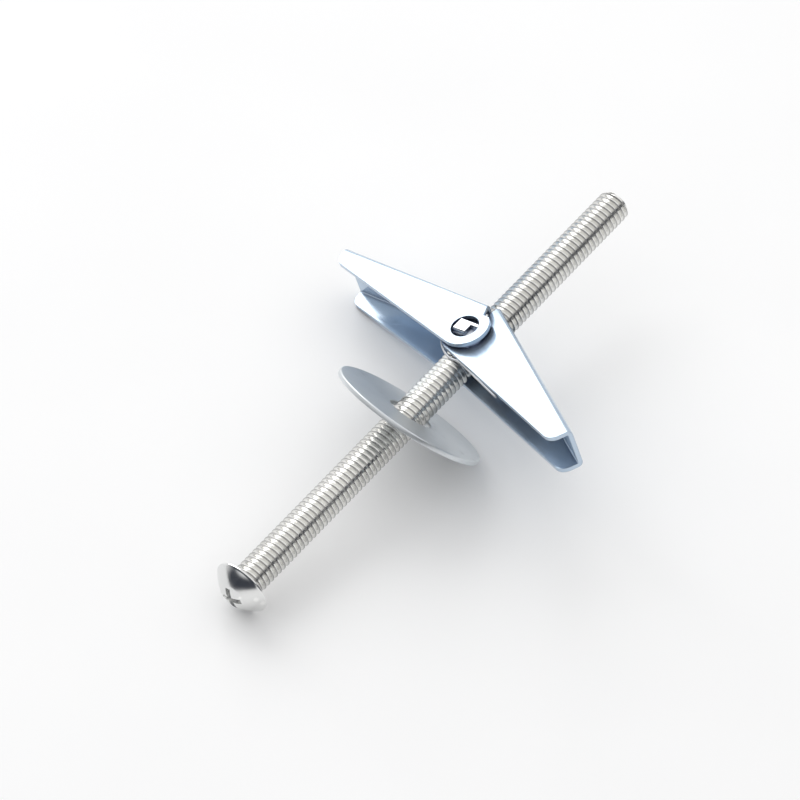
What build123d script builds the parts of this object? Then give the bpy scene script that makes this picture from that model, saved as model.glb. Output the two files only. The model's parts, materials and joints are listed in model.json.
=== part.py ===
"""Spring toggle wall anchor, M6 x 100, with a large washer.

Millimetres. The origin is the centre of the screw head's underside. +X runs along the screw to its
end, +Z is the axis of the trunnion lugs that the wings swing on, and +Y points to the outer wing.
"""

from build123d import *
from math import cos, radians, sin, tan
import os

# Machine screw, M6 coarse. The shank is a plain rod at the thread's pitch diameter.
screw_length = 100.0
shank_radius = 5.35 / 2
end_chamfer = 0.7
head_radius = 5.22
head_height = 3.3
head_rim = 0.35
head_flank_swell = 0.12  # how far the flank bows out from a plain cone
head_crown_radius = 2.7
head_crown_rise = 0.6
recess_width = 1.3
recess_span = 4.2
recess_depth = 1.9
recess_taper = 12.0

# Washer, hanging tilted on the shank
washer_radius = 14.0
washer_hole_radius = 4.0
washer_thickness = 0.9
washer_edge_round = 0.2
washer_place = 43.6
washer_tilt = 37.4  # between the washer's axis and the screw's
washer_roll = 26.5  # turn of the tilt direction about the screw, from +Z

# Wings: folded sheet channels whose ears ride on the nut's lugs
pivot_place = 60.9
sheet = 0.8
bend_radius = 1.0
ear_hole_radius = 2.5
tip_round = 2.2
outer_width = 10.8
outer_lift = 0.15  # the outer wing sits a little towards the near side
inner_width = 8.2
notch_width = inner_width - 2 * sheet
notch_corner = 1.2
outer_rest_angle = 89.4  # from +X to the wing's spine, about +Z
inner_rest_angle = -119.8

# Trunnion nut: a threaded block between the inner wing's ears, with one lug each way along Z
nut_thickness = 4.8
nut_width = 7.2
nut_height = inner_width - 2 * sheet - 0.2
nut_corner = 0.5
thread_clearance = 0.03
lug_width = 4.6
lug_thickness = 2.6
near_lug_reach = outer_width / 2 + outer_lift - 0.05
far_lug_reach = outer_width / 2 - outer_lift - 0.05
lug_clearance = 0.08

# Torsion spring: a wire yoke round the nut block, one leg in each wing
wire_radius = 0.25
coil_radius = 4.7
coil_lift = inner_width / 2 - sheet - wire_radius - 0.01
bridge_angle = -60.0
swell_angle = 135.0  # where the near turn leaves the circle and swells outwards
swell_end = (-5.50, -0.9)
tuck_middle = (-5.58, -1.9)
tuck_end = (-5.55, -2.9)
inner_leg_lean = 1.6  # between the leg and the flange's free edge
inner_leg_length = 11.9
outer_leg_length = 12.0


class WingShape:
    """The side outline of a wing: s runs along the spine to the tip, d from the pivot to the spine."""

    def __init__(self, reach, spine_offset, ear_radius, taper, spine_start, shoulder, notch_end):
        self.reach = reach
        self.spine_offset = spine_offset
        self.ear_radius = ear_radius
        self.taper = taper  # angle between the free edge and the spine
        self.spine_start = spine_start
        self.shoulder = shoulder  # inner corner between the ear and the end edge
        self.notch_end = notch_end  # where the web starts, past the screw

    def outline(self):
        """The flange's face, with its round ear, sloped free edge and rounded tip."""
        slope = radians(self.taper)
        edge_start = (self.ear_radius * sin(slope), -self.ear_radius * cos(slope))
        edge_end = (self.reach, edge_start[1] + (self.reach - edge_start[0]) * tan(slope))
        ear_side = (-self.ear_radius, 0)
        ear_end_angle = radians(125)
        ear_end = (self.ear_radius * cos(ear_end_angle), self.ear_radius * sin(ear_end_angle))
        spine_start = (self.spine_start, self.spine_offset)
        spine_end = (self.reach, self.spine_offset)
        with BuildSketch() as face:
            with BuildLine():
                Polyline(spine_start, spine_end, edge_end, edge_start)
                ThreePointArc(edge_start, ear_side, ear_end)
                Polyline(ear_end, self.shoulder, spine_start)
            make_face()
            fillet(face.vertices().sort_by_distance(edge_end)[0], tip_round)
        return face.sketch


outer_shape = WingShape(
    reach=33.2,
    spine_offset=6.1,
    ear_radius=4.3,
    taper=12.0,
    spine_start=-0.2,
    shoulder=(-1.2, 3.5),
    notch_end=3.6,
)
inner_shape = WingShape(
    reach=33.5,
    spine_offset=7.0,
    ear_radius=4.6,
    taper=12.8,
    spine_start=-2.6,
    shoulder=(-1.4, 3.8),
    notch_end=1.6,
)


def make_screw():
    """Head, recess and shank, all one forging."""
    crown_edge = (head_crown_rise - head_height, head_crown_radius)
    flank_middle = (
        (crown_edge[0] - head_rim) / 2 - head_flank_swell,
        (crown_edge[1] + head_radius) / 2 + head_flank_swell,
    )
    with BuildPart() as screw:
        with BuildSketch(Plane.XY):
            with BuildLine():
                Polyline((-head_height, 0), (0, 0), (0, head_radius), (-head_rim, head_radius))
                ThreePointArc((-head_rim, head_radius), flank_middle, crown_edge)
                TangentArc((-head_height, 0), crown_edge, tangent=(0, 1))
            make_face()
        revolve(axis=Axis.X)
        with BuildSketch(Plane.YZ):
            Circle(shank_radius)
        extrude(amount=screw_length)
        end_edge = screw.edges().filter_by(GeomType.CIRCLE).sort_by(Axis.X)[-1]
        chamfer(end_edge, end_chamfer)
        with BuildSketch(Plane(origin=(-head_height, 0, 0), x_dir=(0, 1, 0), z_dir=(1, 0, 0))):
            Rectangle(recess_span, recess_width)
            Rectangle(recess_width, recess_span)
        extrude(amount=recess_depth, taper=recess_taper, mode=Mode.SUBTRACT)
    return screw.part


def make_washer():
    """A flat ring at its resting place and tilt."""
    disc = Cylinder(washer_radius, washer_thickness)
    disc = fillet(disc.edges().filter_by(GeomType.CIRCLE), washer_edge_round)
    ring = disc - Cylinder(washer_hole_radius, 2 * washer_thickness)
    return Pos(washer_place, 0, 0) * Rot(washer_roll, 0, 0) * Rot(0, 90 - washer_tilt, 0) * ring


def make_nut():
    """The threaded block and its two flattened lugs."""
    block = Box(nut_thickness, nut_width, nut_height)
    block = fillet(block.edges().filter_by(Axis.X), nut_corner)
    lug_length = near_lug_reach + far_lug_reach
    lugs = Box(lug_thickness, lug_width, lug_length)
    lugs = lugs & Cylinder(ear_hole_radius - lug_clearance, lug_length)
    lugs = Pos(0, 0, near_lug_reach - lug_length / 2) * lugs
    thread_bore = Rot(0, 90, 0) * Cylinder(shank_radius + thread_clearance, 2 * nut_thickness)
    return Pos(pivot_place, 0, 0) * (block + lugs - thread_bore)


def make_wing(shape, width, lift, rest_angle, flipped):
    """A channel of two flanges and a web, notched where the screw passes and pierced at the ears."""
    inside = width - 2 * sheet
    shell = extrude(shape.outline(), amount=width / 2, both=True)
    shell = fillet(shell.edges().filter_by(Axis.X).group_by(Axis.Y)[-1], bend_radius)
    cavity_depth = 3 * shape.spine_offset
    cavity = Box(3 * shape.reach, cavity_depth, inside)
    cavity = fillet(cavity.edges().filter_by(Axis.X).group_by(Axis.Y)[-1], bend_radius - sheet)
    cavity = Pos(0, shape.spine_offset - sheet - cavity_depth / 2, 0) * cavity
    notch = Box(20, 4 * sheet, notch_width)
    notch = fillet(notch.edges().filter_by(Axis.Y).group_by(Axis.X)[-1], notch_corner)
    notch = Pos(shape.notch_end - 10, shape.spine_offset, 0) * notch
    ear_hole = Cylinder(ear_hole_radius, 2 * width)
    wing = shell - cavity - notch - ear_hole
    if flipped:
        wing = Rot(180, 0, 0) * wing
    return Pos(pivot_place, 0, lift) * Rot(0, 0, rest_angle) * wing


def on_coil(angle, height):
    """A point of the wire's centre-line on the turn round the nut."""
    return (coil_radius * cos(radians(angle)), coil_radius * sin(radians(angle)), height)


def make_spring():
    """The wire, leg by leg: free edge of the inner wing, turn, bridge, turn, web of the outer wing."""
    near, far = coil_lift, -coil_lift
    leg_heading = radians(inner_rest_angle + inner_shape.taper - inner_leg_lean)
    inner_leg_end = (
        tuck_end[0] + inner_leg_length * cos(leg_heading),
        tuck_end[1] + inner_leg_length * sin(leg_heading),
        near,
    )
    swell_start = on_coil(swell_angle, near)
    swell_heading = (-sin(radians(swell_angle)), cos(radians(swell_angle)), 0)
    near_middle = on_coil((swell_angle + bridge_angle) / 2, near)
    far_middle = on_coil(bridge_angle / 2, far)
    path = [
        Line(inner_leg_end, (*tuck_end, near)),
        ThreePointArc((*tuck_end, near), (*tuck_middle, near), (*swell_end, near)),
        TangentArc(swell_start, (*swell_end, near), tangent=swell_heading),
        ThreePointArc(swell_start, near_middle, on_coil(bridge_angle, near)),
        Line(on_coil(bridge_angle, near), on_coil(bridge_angle, far)),
        ThreePointArc(on_coil(bridge_angle, far), far_middle, on_coil(0, far)),
        Line(on_coil(0, far), (coil_radius, outer_leg_length, far)),
    ]
    bends = [(*tuck_end, near), (*swell_end, near), on_coil(bridge_angle, near), on_coil(bridge_angle, far)]
    wire = Part()
    for stretch in path:
        section = Plane(origin=stretch @ 0, z_dir=stretch % 0) * Circle(wire_radius)
        wire += sweep(section, path=stretch)
    for bend in bends:
        wire += Pos(*bend) * Sphere(wire_radius)
    return Pos(pivot_place, 0, 0) * wire


pieces = {
    "machine_screw": make_screw(),
    "washer": make_washer(),
    "trunnion_nut": make_nut(),
    "wing_outer": make_wing(outer_shape, outer_width, outer_lift, outer_rest_angle, True),
    "wing_inner": make_wing(inner_shape, inner_width, 0, inner_rest_angle, False),
    "torsion_spring": make_spring(),
}

os.makedirs("parts", exist_ok=True)
for name, piece in pieces.items():
    export_step(piece, f"parts/{name}.step")
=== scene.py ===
import json
from math import cos, degrees, pi, radians, sin

import bmesh
import bpy
from mathutils import Matrix, Vector


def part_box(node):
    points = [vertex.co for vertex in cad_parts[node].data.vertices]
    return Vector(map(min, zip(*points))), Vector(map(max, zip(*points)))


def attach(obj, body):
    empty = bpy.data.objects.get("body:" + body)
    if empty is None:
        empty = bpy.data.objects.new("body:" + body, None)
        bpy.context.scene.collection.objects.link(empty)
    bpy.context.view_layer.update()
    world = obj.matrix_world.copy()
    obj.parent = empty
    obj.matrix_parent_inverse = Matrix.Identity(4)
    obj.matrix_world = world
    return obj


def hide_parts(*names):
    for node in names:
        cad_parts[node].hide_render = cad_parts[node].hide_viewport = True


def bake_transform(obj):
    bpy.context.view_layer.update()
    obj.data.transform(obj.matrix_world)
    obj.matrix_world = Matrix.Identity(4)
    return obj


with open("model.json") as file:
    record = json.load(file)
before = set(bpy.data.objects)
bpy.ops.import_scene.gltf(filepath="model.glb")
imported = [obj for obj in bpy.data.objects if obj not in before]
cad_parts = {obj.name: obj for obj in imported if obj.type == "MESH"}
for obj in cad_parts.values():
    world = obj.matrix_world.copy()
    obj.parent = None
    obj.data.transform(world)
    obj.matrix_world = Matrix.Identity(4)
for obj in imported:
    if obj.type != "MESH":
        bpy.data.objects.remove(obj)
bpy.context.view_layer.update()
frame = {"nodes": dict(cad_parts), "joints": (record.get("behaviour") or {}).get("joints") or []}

# A spring toggle wall anchor. X runs along the screw from its head to its end, and Z is the axis that
# the wings swing on. Shapes are written in millimetres and degrees; add_mesh turns them into metres.

MM = 0.001
weld_distance = 0.002 * MM
nodes = frame["nodes"]
joints = {joint["name"]: joint for joint in frame["joints"]}
collection = bpy.context.scene.collection


def in_mm(metres):
    """Millimetres, to the nearest micrometre."""
    return round(metres / MM, 3)


# Places from the frame
pivot = in_mm(joints["wing_outer_fold"]["pos_m"][0])
screw_length = in_mm(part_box("machine_screw")[1].x)
lug_end = in_mm(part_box("trunnion_nut")[1].z)

# Screw
head_radius = 5.22
head_height = 3.3
head_rim = 0.35
crown_radius = 2.7
crown_rise = 0.6
crest_radius = 2.95
root_radius = 2.27
pitch = 1.0

# Washer
washer_radius = 14.0
washer_hole_radius = 4.0
washer_thickness = 0.9
washer_place = 43.6
washer_tilt = 37.4  # between the washer's axis and the screw's
washer_roll = 26.5  # turn of the tilt direction about the screw, from +Z

# Spring
wire_radius = 0.25
coil_radius = 4.7
coil_lift = 3.04
bridge_angle = -60.0
swell_angle = 135.0  # where the near turn leaves the circle and swells outwards
inner_leg_heading = -108.6
inner_leg_length = 11.9
outer_leg_length = 12.0


# Mesh tools

def add_mesh(name, points, faces, smooth_below=None):
    """A mesh object from points in millimetres; edges sharper than smooth_below degrees stay sharp."""
    mesh = bpy.data.meshes.new(name)
    mesh.from_pydata([tuple(c * MM for c in p) for p in points], [], faces)
    mesh.validate()
    for face in mesh.polygons:
        face.use_smooth = True
    if smooth_below:
        mesh.set_sharp_from_angle(angle=radians(smooth_below))
    obj = bpy.data.objects.new(name, mesh)
    collection.objects.link(obj)
    return obj


def spun(profile, steps, closed=False):
    """Points and faces of a profile of (x, radius) spun about the X axis."""
    points, faces = [], []
    rows = len(profile)
    for i in range(steps):
        turn = 2 * pi * i / steps
        for x, r in profile:
            points.append((x, r * cos(turn), r * sin(turn)))
    for i in range(steps):
        a, b = i * rows, (i + 1) % steps * rows
        for j in range(rows if closed else rows - 1):
            k = (j + 1) % rows
            faces.append((a + j, a + k, b + k, b + j))
    return points, faces


def arc(centre_x, centre_r, radius, start, end, steps):
    """Points (x, r) along an arc of a profile; angles in degrees from +X towards +r."""
    result = []
    for i in range(steps + 1):
        a = radians(start + (end - start) * i / steps)
        result.append((centre_x + radius * cos(a), centre_r + radius * sin(a)))
    return result


def bezier(a, b, c, d, steps):
    """Points of a smooth curve from a to d; b and c are its handles."""
    result = []
    for i in range(steps + 1):
        t = i / steps
        u = 1 - t
        weights = (u ** 3, 3 * u * u * t, 3 * u * t * t, t ** 3)
        result.append(tuple(sum(w * v for w, v in zip(weights, values)) for values in zip(a, b, c, d)))
    return result


def block(name, x, y, z, turn, axis, about):
    """A box between pairs of limits, turned by some degrees on an axis through a point."""
    points = [Vector((a, b, c)) for a in x for b in y for c in z]
    faces = [(0, 1, 3, 2), (4, 6, 7, 5), (0, 4, 5, 1), (2, 3, 7, 6), (0, 2, 6, 4), (1, 5, 7, 3)]
    spin = Matrix.Rotation(radians(turn), 3, axis)
    return add_mesh(name, [about + spin @ (p - about) for p in points], faces)


def carve(obj, cutter):
    """Cuts one closed mesh out of another and drops the cutter."""
    cut = obj.modifiers.new("cut", "BOOLEAN")
    cut.operation = "DIFFERENCE"
    cut.solver = "EXACT"
    cut.object = cutter
    bpy.context.view_layer.update()
    graph = bpy.context.evaluated_depsgraph_get()
    obj.data = bpy.data.meshes.new_from_object(obj.evaluated_get(graph))
    obj.modifiers.clear()
    bpy.data.objects.remove(cutter)


def tube(name, path, radius):
    """A round wire along a path of points, with rounded ends."""
    sides = 14
    end_bulge = 0.6 * radius
    end_rings = ((0.4, 0.92), (0.8, 0.62), (0.96, 0.3))  # shares of the bulge and of the wire's radius
    path = [Vector(p) for p in path]
    last = len(path) - 1
    reference = Vector((0, 0, 1))
    stations = []
    for i, here in enumerate(path):
        ahead = (path[min(i + 1, last)] - path[max(i - 1, 0)]).normalized()
        if abs(ahead.dot(reference)) > 0.95:
            reference = Vector((1, 0, 0))
        side = ahead.cross(reference).normalized()
        up = side.cross(ahead).normalized()
        reference = up
        stations.append((here, ahead, side, up))
    rings = [(stations[0], -out, width) for out, width in reversed(end_rings)]
    rings += [(station, 0, 1) for station in stations]
    rings += [(stations[-1], out, width) for out, width in end_rings]
    points, faces = [], []
    for (here, ahead, side, up), out, width in rings:
        centre = here + ahead * (end_bulge * out)
        for k in range(sides):
            a = 2 * pi * k / sides
            points.append(centre + side * (radius * width * cos(a)) + up * (radius * width * sin(a)))
    for i in range(len(rings) - 1):
        a, b = i * sides, (i + 1) * sides
        for j in range(sides):
            k = (j + 1) % sides
            faces.append((a + j, a + k, b + k, b + j))
    faces.append(tuple(range(sides))[::-1])
    faces.append(tuple(range(len(points) - sides, len(points))))
    return add_mesh(name, points, faces, smooth_below=60)


def soften(obj, width, segments):
    """Rounds a CAD shape's sheared edges a little."""
    weld = obj.modifiers.new("weld", "WELD")
    weld.merge_threshold = weld_distance
    bevel = obj.modifiers.new("edge", "BEVEL")
    bevel.width = width * MM
    bevel.segments = segments
    bevel.limit_method = "ANGLE"
    bevel.angle_limit = radians(40)
    for face in obj.data.polygons:
        face.use_smooth = True


# Pieces

def make_thread():
    """The rolled M6 thread as one helical strip, closed by the screw's end face."""
    steps = 48
    turns = int(screw_length / pitch) + 2
    start = -0.6  # inside the head
    section = [  # one turn: shares of the pitch and of the way from root to crest
        (0.00, 0.00), (0.10, 0.00), (0.16, 0.05), (0.30, 0.46), (0.44, 0.90),
        (0.49, 1.00), (0.59, 1.00), (0.64, 0.90), (0.78, 0.46), (0.92, 0.05),
    ]
    run_out = 1.0  # the stretch over which the thread gets shallower
    run_out_depth = 0.7  # share of the full depth that is left at the end
    chamfer = 0.5
    cap_radius = root_radius + 0.1
    cap_edge = 0.05  # how far the chamfer starts outside the end face
    chamfer_slope = (crest_radius - cap_radius) / chamfer
    rows = len(section)
    total = turns * steps
    points, faces = [], []
    for i in range(total + 1):
        turn = 2 * pi * i / steps
        for along, height in section:
            x = start + pitch * (i / steps + along)
            left = screw_length - x
            if left > 0:
                depth = run_out_depth + (1 - run_out_depth) * min(1.0, left / run_out)
                r = root_radius + (crest_radius - root_radius) * height * depth
                r = min(r, cap_radius + cap_edge + left * chamfer_slope)
            else:
                x, r = screw_length, cap_radius
            points.append((x, r * cos(turn), r * sin(turn)))
    for i in range(total):
        for j in range(rows - 1):
            a = i * rows + j
            faces.append((a, a + 1, a + rows + 1, a + rows))
        if i + steps < total:
            last = i * rows + rows - 1
            next_turn = (i + steps) * rows
            faces.append((last, next_turn, next_turn + rows, last + rows))
    centre = len(points)
    end_swell = 0.02
    points.append((screw_length + end_swell, 0, 0))
    for i in range(steps):
        turn = 2 * pi * i / steps
        points.append((screw_length, cap_radius * cos(turn), cap_radius * sin(turn)))
    for i in range(steps):
        faces.append((centre, centre + 1 + i, centre + 1 + (i + 1) % steps))
    return add_mesh("screw_thread", points, faces, smooth_below=50)


def cross_section(x, arm, half):
    """The twelve corners of a cross in the plane at x, its arms of the given reach and half width."""
    corners = []
    for quarter in range(4):
        a = radians(90 * quarter)
        for u, v in ((arm, -half), (arm, half), (half, half)):
            corners.append((x, u * cos(a) - v * sin(a), u * sin(a) + v * cos(a)))
    return corners


def make_recess_cutter():
    """The tapered cross of the driver recess, from above the crown to its pointed bottom."""
    levels = (  # depth below the crown, reach and half width of the arms
        (-0.4, 2.40, 0.56),
        (0.35, 2.25, 0.50),
        (1.8, 0.90, 0.36),
    )
    top_depth, bottom_depth = levels[0][0], 2.3
    points = []
    for depth, arm, half in levels:
        points += cross_section(depth - head_height, arm, half)
    corners = len(points) // len(levels)
    deepest = len(points) - corners
    bottom, lid = len(points), len(points) + 1
    points += [(bottom_depth - head_height, 0, 0), (top_depth - head_height, 0, 0)]
    faces = []
    for i in range(corners):
        j = (i + 1) % corners
        for a in range(0, deepest, corners):
            b = a + corners
            faces.append((a + i, a + j, b + j, b + i))
        faces.append((deepest + i, deepest + j, bottom))
        faces.append((j, i, lid))
    return add_mesh("recess_cutter", points, faces)


def make_head():
    """The domed head with its rim and tapered cross recess."""
    rim_round = 0.12
    seat_radius = crest_radius - 0.4  # the seat starts inside the thread's crests
    crown_edge = (crown_rise - head_height, crown_radius - 0.05)
    profile = [(0.0, seat_radius)]
    profile += arc(-rim_round, head_radius - rim_round, rim_round, 0, 90, 4)
    profile += [(-head_rim + 0.06, head_radius), (-head_rim - 0.01, head_radius - 0.05)]
    flank = bezier(
        (-head_rim - 0.05, head_radius - 0.10),
        (-head_rim - 1.05, head_radius - 0.85),
        (crown_edge[0] + 0.55, crown_edge[1] + 0.80),
        crown_edge,
        16,
    )
    crown = bezier(
        crown_edge,
        (crown_edge[0] - 0.25, crown_edge[1] - 0.40),
        (-head_height, 1.5),
        (-head_height, 0),
        12,
    )
    points, faces = spun(profile + flank[:-1] + crown, 96)
    head = add_mesh("screw_head", points, faces)
    carve(head, make_recess_cutter())
    head.data.set_sharp_from_angle(angle=radians(32))
    return head


def make_washer():
    """The stamped ring, its edges rolled over on one face and sharper on the other."""
    half = washer_thickness / 2
    rolled, rolled_hole, sharp = 0.22, 0.25, 0.10  # radii of the edges
    loops = (4.5, 7.5, 11.0, 13.5)  # rings of points that keep the faces' shading flat
    profile = arc(half - rolled, washer_radius - rolled, rolled, 0, 90, 5)
    profile += arc(-half + sharp, washer_radius - sharp, sharp, 90, 180, 3)
    profile += [(-half, r) for r in reversed(loops)]
    profile += arc(-half + sharp, washer_hole_radius + sharp, sharp, 180, 270, 3)
    profile += arc(half - rolled_hole, washer_hole_radius + rolled_hole, rolled_hole, 270, 360, 5)
    profile += [(half, r) for r in loops]
    points, faces = spun(profile, 144, closed=True)
    washer = add_mesh("washer_ring", points, faces, smooth_below=60)
    tilt = Matrix.Rotation(radians(-washer_tilt), 4, "Y")
    roll = Matrix.Rotation(radians(washer_roll), 4, "X")
    place = Matrix.Translation(Vector((washer_place * MM, 0, 0)))
    washer.data.transform(place @ roll @ tilt)
    return washer


def cut_lug(nut, name, x, y, depth, turn, axis, hinge):
    """Cuts a depth off the near lug's end; x and the hinge are taken from the pivot, turn is in degrees."""
    past_end = 3.0
    x = [pivot + limit for limit in x]
    z = (lug_end - depth, lug_end + past_end)
    about = Vector((pivot + hinge[0], hinge[1], lug_end - depth))
    carve(nut, block(name, x, y, z, turn, axis, about))


def make_nut():
    """The CAD nut with the end of its near lug stepped, chamfered and rounded."""
    mesh = nodes["trunnion_nut"].data.copy()
    sewn = bmesh.new()
    sewn.from_mesh(mesh)
    bmesh.ops.remove_doubles(sewn, verts=sewn.verts, dist=weld_distance)
    sewn.to_mesh(mesh)
    sewn.free()
    nut = bpy.data.objects.new("nut_body", mesh)
    collection.objects.link(nut)
    cut_lug(nut, "step", (-2.5, 0.75), (-4.0, -0.45), 1.1, 14, "X", (0, -0.45))
    cut_lug(nut, "chamfer", (-3.3, -1.3), (-4.0, 4.0), 0.45, 38, "Y", (-1.3, 0))
    cut_lug(nut, "rounding", (-3.0, 3.0), (2.3, 5.0), 0.7, 30, "X", (0, 2.3))
    soften(nut, 0.10, 2)
    return nut


def on_coil(angle, z):
    """A point of the spring's turn about the pivot."""
    return (pivot + coil_radius * cos(radians(angle)), coil_radius * sin(radians(angle)), z)


def make_inner_wire():
    """The inner wing's leg, the tuck by the nut's block and the near turn as far as the bridge."""
    leg_heading = Vector((cos(radians(inner_leg_heading)), sin(radians(inner_leg_heading)), 0))
    across = Vector((0, 1, 0))
    tuck = Vector((pivot - 5.55, -2.9, coil_lift))
    bulge = Vector((pivot - 5.50, -0.9, coil_lift))
    swell = Vector(on_coil(swell_angle, coil_lift))
    swell_heading = Vector((-sin(radians(swell_angle)), cos(radians(swell_angle)), 0))
    tuck_handle, bulge_handle, swell_handle = 0.7, 0.8, 1.3
    leg_steps, tuck_steps, swell_steps, turn_steps = 14, 10, 14, 48
    path = [tuck + leg_heading * (inner_leg_length * i / leg_steps) for i in range(leg_steps, 0, -1)]
    tuck_out, bulge_in = tuck - leg_heading * tuck_handle, bulge - across * bulge_handle
    bulge_out, swell_in = bulge + across * swell_handle, swell + swell_heading * swell_handle
    path += bezier(tuck, tuck_out, bulge_in, bulge, tuck_steps)[:-1]
    path += bezier(bulge, bulge_out, swell_in, swell, swell_steps)
    for i in range(1, turn_steps + 1):
        path.append(on_coil(swell_angle + (bridge_angle - swell_angle) * i / turn_steps, coil_lift))
    return tube("spring_inner_leg", path, wire_radius)


def make_outer_wire():
    """The bridge across the nut's block, the far turn and the outer wing's leg."""
    corner = 0.55
    corner_angle = degrees(corner / coil_radius)
    corner_steps, turn_steps, leg_steps = 8, 18, 16
    quarter = [radians(90 * i / corner_steps) for i in range(corner_steps + 1)]
    path = []
    for a in quarter:
        angle = bridge_angle + corner_angle * (1 - sin(a))
        path.append(on_coil(angle, coil_lift - corner * (1 - cos(a))))
    for a in quarter:
        angle = bridge_angle + corner_angle * (1 - cos(a))
        path.append(on_coil(angle, corner * (1 - sin(a)) - coil_lift))
    for i in range(1, turn_steps + 1):
        path.append(on_coil((bridge_angle + corner_angle) * (1 - i / turn_steps), -coil_lift))
    for i in range(1, leg_steps + 1):
        path.append((pivot + coil_radius, outer_leg_length * i / leg_steps, -coil_lift))
    return tube("spring_outer_leg", path, wire_radius)


# Materials

class Nodes:
    """Short calls for wiring the nodes of a material or a world; they take and return sockets."""

    def __init__(self, owner):
        owner.use_nodes = True
        self.tree = owner.node_tree
        self.tree.nodes.clear()

    def add(self, kind, **values):
        node = self.tree.nodes.new(kind)
        for key, value in values.items():
            setattr(node, key, value)
        return node

    def feed(self, target, source):
        """Links an input to an output, or sets it to a plain number, vector or colour."""
        if isinstance(source, bpy.types.NodeSocket):
            self.tree.links.new(source, target)
        elif target.type == "RGBA":
            target.default_value = (*source, 1)
        else:
            target.default_value = source

    def noise(self, scale, detail):
        """Cloudy noise fixed to the object; scale is in features per metre."""
        noise = self.add("ShaderNodeTexNoise")
        self.feed(noise.inputs["Vector"], self.add("ShaderNodeTexCoord").outputs["Object"])
        self.feed(noise.inputs["Scale"], scale)
        self.feed(noise.inputs["Detail"], detail)
        return noise.outputs["Fac"]

    def ramp(self, source, low, high):
        """A colour that runs between two (value, colour) ends."""
        ramp = self.add("ShaderNodeValToRGB")
        for element, (place, colour) in zip(ramp.color_ramp.elements, (low, high)):
            element.position = place
            element.color = (*colour, 1)
        self.feed(ramp.inputs["Fac"], source)
        return ramp.outputs["Color"]

    def mask(self, source, low, high):
        """A grey that runs between two (value, tone) ends."""
        return self.ramp(source, (low[0], (low[1],) * 3), (high[0], (high[1],) * 3))

    def mix(self, share, a, b):
        """Colour a where the share is 0, b where it is 1."""
        mix = self.add("ShaderNodeMix", data_type="RGBA")
        colour_a, colour_b, result = mix.inputs[6], mix.inputs[7], mix.outputs[2]
        self.feed(mix.inputs["Factor"], share)
        self.feed(colour_a, a)
        self.feed(colour_b, b)
        return result

    def dot(self, a, b):
        dot = self.add("ShaderNodeVectorMath", operation="DOT_PRODUCT")
        self.feed(dot.inputs[0], a)
        self.feed(dot.inputs[1], b)
        return dot.outputs["Value"]

    def bent(self, low, high):
        """0 below one curvature, 1 above the other; flat is 0.5. For finely divided meshes."""
        geometry = self.add("ShaderNodeNewGeometry")
        return self.mask(geometry.outputs["Pointiness"], (low, 0), (high, 1))

    def rims(self, radius):
        """1 within a radius of an edge, 0 elsewhere. For meshes with large flat faces."""
        bevel = self.add("ShaderNodeBevel", samples=6)
        self.feed(bevel.inputs["Radius"], radius)
        geometry = self.add("ShaderNodeNewGeometry")
        likeness = self.dot(bevel.outputs["Normal"], geometry.outputs["Normal"])
        return self.mask(likeness, (0.88, 1), (0.985, 0))

    def crevice_shade(self, reach):
        """Where painted shade goes: 0 deep in narrow gaps, 1 in the open."""
        shade = self.add("ShaderNodeAmbientOcclusion", samples=8)
        self.feed(shade.inputs["Distance"], reach)
        return self.mask(shade.outputs["AO"], (0.35, 0), (0.85, 1))

    def bump(self, height, distance, strength=1.0, below=None):
        bump = self.add("ShaderNodeBump")
        self.feed(bump.inputs["Strength"], strength)
        self.feed(bump.inputs["Distance"], distance)
        self.feed(bump.inputs["Height"], height)
        if below is not None:
            self.feed(bump.inputs["Normal"], below)
        return bump.outputs["Normal"]


def new_material(name):
    """A material, its nodes and its shader node."""
    material = bpy.data.materials.new(name)
    m = Nodes(material)
    shader = m.add("ShaderNodeBsdfPrincipled")
    m.feed(m.add("ShaderNodeOutputMaterial").inputs["Surface"], shader.outputs["BSDF"])
    return material, m, shader


def zinc(name, base, tint, dull, roughness, spread,
         edge=(0.92, 0.92, 0.91), gap_shade=(0.30, 0.30, 0.31), flat=False, metallic=1.0):
    """Plated steel: mottled colour, dull spots, uneven gloss and fine grain, with painted shade in gaps and
    hollows and painted light on edges.
    """
    material, m, shader = new_material(name)
    mottle = m.ramp(m.noise(70, 4), (0.32, base), (0.70, tint))
    spots = m.mask(m.noise(420, 5), (0.62, 0), (0.80, 0.55))
    colour = m.mix(spots, mottle, dull)
    # Painted shade: deep in narrow gaps on the flat parts, and in the hollows of finely divided meshes such
    # as the thread roots and the recess, the colour darkens towards the gap colour.
    if flat:
        outside_gap_shade = m.crevice_shade(1.4 * MM)
        painted_rim_light = m.rims(0.16 * MM)
    else:
        outside_gap_shade = m.bent(0.44, 0.495)
        painted_rim_light = m.bent(0.515, 0.56)
    # The gap colour is painted shade laid into gaps and hollows.
    colour = m.mix(outside_gap_shade, gap_shade, colour)
    # The edge colour is painted light along edges: a painted highlight with the pale default, painted shade
    # with the dark nut and wing colours.
    colour = m.mix(painted_rim_light, colour, edge)
    m.feed(shader.inputs["Base Color"], colour)
    m.feed(shader.inputs["Metallic"], metallic)
    gloss = m.mask(m.noise(160, 4), (0.3, roughness - spread), (0.72, roughness + spread))
    m.feed(shader.inputs["Roughness"], gloss)
    ripple = m.bump(m.noise(90, 2), 0.04 * MM)
    grain = m.bump(m.noise(900, 3), 0.006 * MM, strength=0.6, below=ripple)
    m.feed(shader.inputs["Normal"], grain)
    return material


# In each call the gap colour is painted shade for gaps and hollows. The edge colour is painted light on
# edges: a pale highlight by default, and painted shade where it is dark.
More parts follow.
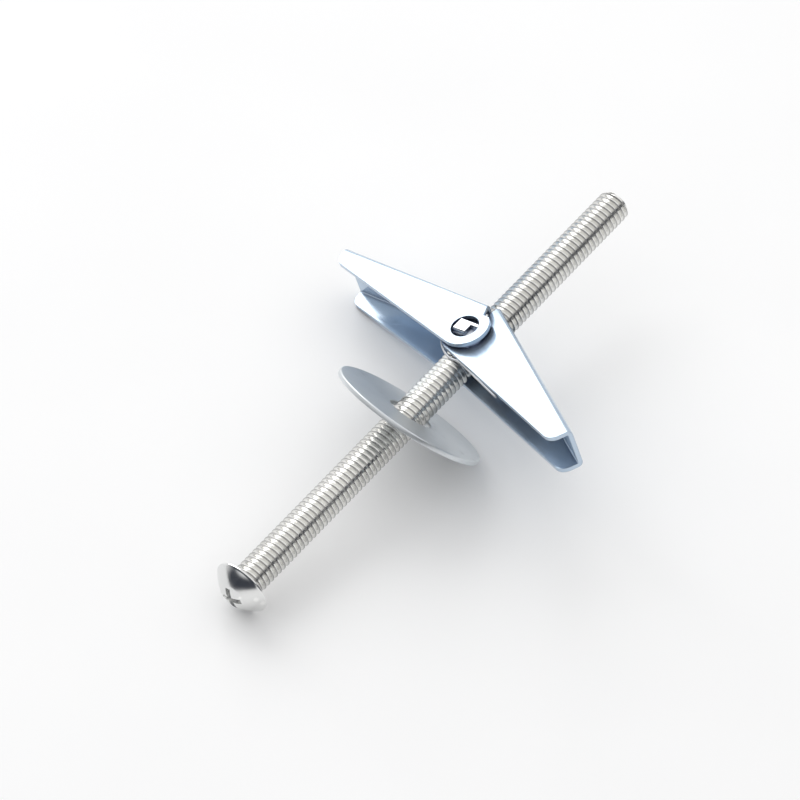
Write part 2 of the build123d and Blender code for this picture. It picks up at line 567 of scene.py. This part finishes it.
screw_metal = zinc("screw_zinc", (0.78, 0.775, 0.75), (0.88, 0.875, 0.85), (0.45, 0.44, 0.40), 0.22, 0.05,
                   gap_shade=(0.34, 0.335, 0.33))
head_metal = zinc("head_zinc", (0.72, 0.73, 0.73), (0.82, 0.82, 0.81), (0.48, 0.48, 0.48), 0.19, 0.05)
washer_metal = zinc("washer_zinc", (0.66, 0.69, 0.71), (0.74, 0.77, 0.79), (0.50, 0.53, 0.55), 0.42, 0.06,
                    gap_shade=(0.50, 0.52, 0.54), flat=True)
# The nut's and wings' dark navy gap and edge colours are painted shade under the ears, between the parts
# and along the sheared edges.
nut_metal = zinc("nut_zinc", (0.74, 0.78, 0.83), (0.86, 0.88, 0.90), (0.42, 0.47, 0.56), 0.28, 0.06,
                 edge=(0.30, 0.33, 0.40), gap_shade=(0.10, 0.13, 0.22), flat=True)
wing_metal = zinc("wing_zinc", (0.50, 0.61, 0.74), (0.60, 0.70, 0.81), (0.38, 0.48, 0.61), 0.22, 0.05,
                  edge=(0.26, 0.29, 0.35), gap_shade=(0.08, 0.11, 0.20), flat=True, metallic=0.75)
wire_metal = zinc("wire_zinc", (0.80, 0.82, 0.84), (0.90, 0.91, 0.92), (0.50, 0.52, 0.55), 0.24, 0.05)


# The object

def dress(obj, material):
    obj.data.materials.clear()
    obj.data.materials.append(material)


for piece, material, body, node in (
    (make_thread(), screw_metal, "screw", "machine_screw"),
    (make_head(), head_metal, "screw", "machine_screw"),
    (make_washer(), washer_metal, "washer", "washer"),
    (make_nut(), nut_metal, "nut", "trunnion_nut"),
):
    dress(piece, material)
    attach(piece, body)
    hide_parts(node)

# Each wire with its wing, the place up to which it would stay with the nut and the place past which it
# would follow its wing; here the wires are only dressed and fixed in place, and do not bend
for wire, wing, first, second in (
    (make_inner_wire(), "wing_inner", (pivot + 2.0, 0, coil_lift), (pivot - coil_radius, 0, coil_lift)),
    (make_outer_wire(), "wing_outer", (pivot + 4.0, -4.0, -coil_lift), (pivot + 4.0, 0, -coil_lift)),
):
    dress(wire, wire_metal)
    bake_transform(wire)
    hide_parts("torsion_spring")

for name in ("wing_outer", "wing_inner"):
    dress(nodes[name], wing_metal)
    soften(nodes[name], 0.13, 3)


# Floor, camera and light

# The floor touches the washer's edge and the outer wing's tip, and passes just under the head
floor_normal = Vector((0.117, -0.239, 0.964)).normalized()
floor_drop = 5.40  # from the centre of the head's underside

camera_azimuth = -34.61  # 0 is -Y, 90 is +X
camera_elevation = 40.78
camera_roll = -21.40
camera_distance = 1121.82
camera_aim = Vector((47.52, 6.52, -2.59)) * MM
field_of_view = 6.9

light_distance = 1.6  # metres, as are the light's sides
light_side = 1.33
light_power = 11.5


def make_floor():
    half = 3000.0
    points = [(-half, -half, 0), (half, -half, 0), (half, half, 0), (-half, half, 0)]
    floor = add_mesh("floor", points, [(0, 1, 2, 3)])
    turn = Vector((0, 0, 1)).rotation_difference(floor_normal).to_matrix().to_4x4()
    floor.data.transform(Matrix.Translation(floor_normal * (-floor_drop * MM)) @ turn)
    material, m, shader = new_material("floor_white")
    m.feed(shader.inputs["Base Color"], m.mask(m.noise(25, 2), (0.3, 0.955), (0.7, 0.97)))
    m.feed(shader.inputs["Roughness"], 0.85)
    m.feed(shader.inputs["Specular IOR Level"], 0.2)
    dress(floor, material)


def make_camera():
    """Places the camera and returns its axes: right, up and from the object towards it."""
    data = bpy.data.cameras.new("camera")
    data.lens_unit = "FOV"
    data.angle = radians(field_of_view)
    data.clip_end = 20
    azimuth, elevation = radians(camera_azimuth), radians(camera_elevation)
    back = Vector((sin(azimuth) * cos(elevation), -cos(azimuth) * cos(elevation), sin(elevation)))
    right = Vector((0, 0, 1)).cross(back).normalized()
    level = Matrix((right, back.cross(right), back)).transposed()
    axes = level @ Matrix.Rotation(radians(camera_roll), 3, "Z")
    camera = bpy.data.objects.new("camera", data)
    camera.matrix_world = Matrix.Translation(camera_aim + back * (camera_distance * MM)) @ axes.to_4x4()
    collection.objects.link(camera)
    bpy.context.scene.camera = camera
    return axes.col[0], axes.col[1], axes.col[2]


def make_light():
    """A soft square light above and to the left of the picture."""
    towards = (camera_up * 0.92 - camera_right * 0.36 - to_camera * 0.12).normalized()
    data = bpy.data.lights.new("overhead", "AREA")
    data.shape = "SQUARE"
    data.size = light_side
    data.energy = light_power
    light = bpy.data.objects.new("overhead", data)
    turn = towards.to_track_quat("Z", "Y").to_matrix().to_4x4()
    light.matrix_world = Matrix.Translation(camera_aim + towards * light_distance) @ turn
    light.visible_camera = False
    collection.objects.link(light)


def make_world():
    """A white studio whose walls darken near the floor, most of all on the camera's side."""
    world = bpy.data.worlds.new("studio")
    bpy.context.scene.world = world
    w = Nodes(world)
    heading = w.add("ShaderNodeTexCoord").outputs["Generated"]
    front = (to_camera - floor_normal * to_camera.dot(floor_normal)).normalized()
    dark = w.add("ShaderNodeMath", operation="MULTIPLY")
    for target, axis, (low, low_tone), (high, high_tone) in (
        # Fully dark up to 24 degrees above the floor, white from 34 degrees
        (dark.inputs[0], floor_normal, (0.40, 1.0), (0.56, 0.0)),
        # Fully dark on the camera's side, 0.3 times as dark on the far side
        (dark.inputs[1], front, (-0.30, 0.30), (0.15, 1.0)),
    ):
        spread = w.add("ShaderNodeMapRange", interpolation_type="SMOOTHSTEP")
        w.feed(spread.inputs["Value"], w.dot(heading, axis))
        w.feed(spread.inputs["From Min"], low)
        w.feed(spread.inputs["From Max"], high)
        w.feed(spread.inputs["To Min"], low_tone)
        w.feed(spread.inputs["To Max"], high_tone)
        w.feed(target, spread.outputs["Result"])
    walls = w.mix(dark.outputs["Value"], (1, 1, 1), (0.04, 0.045, 0.06))
    in_view = w.add("ShaderNodeLightPath").outputs["Is Camera Ray"]
    background = w.add("ShaderNodeBackground")
    w.feed(background.inputs["Color"], w.mix(in_view, walls, (0.98, 0.98, 0.98)))
    w.feed(background.inputs["Strength"], 0.94)
    w.feed(w.add("ShaderNodeOutputWorld").inputs["Surface"], background.outputs["Background"])


make_floor()
camera_right, camera_up, to_camera = make_camera()
make_light()
make_world()
bpy.context.scene.view_settings.view_transform = "Standard"
bpy.context.scene.view_settings.look = "None"
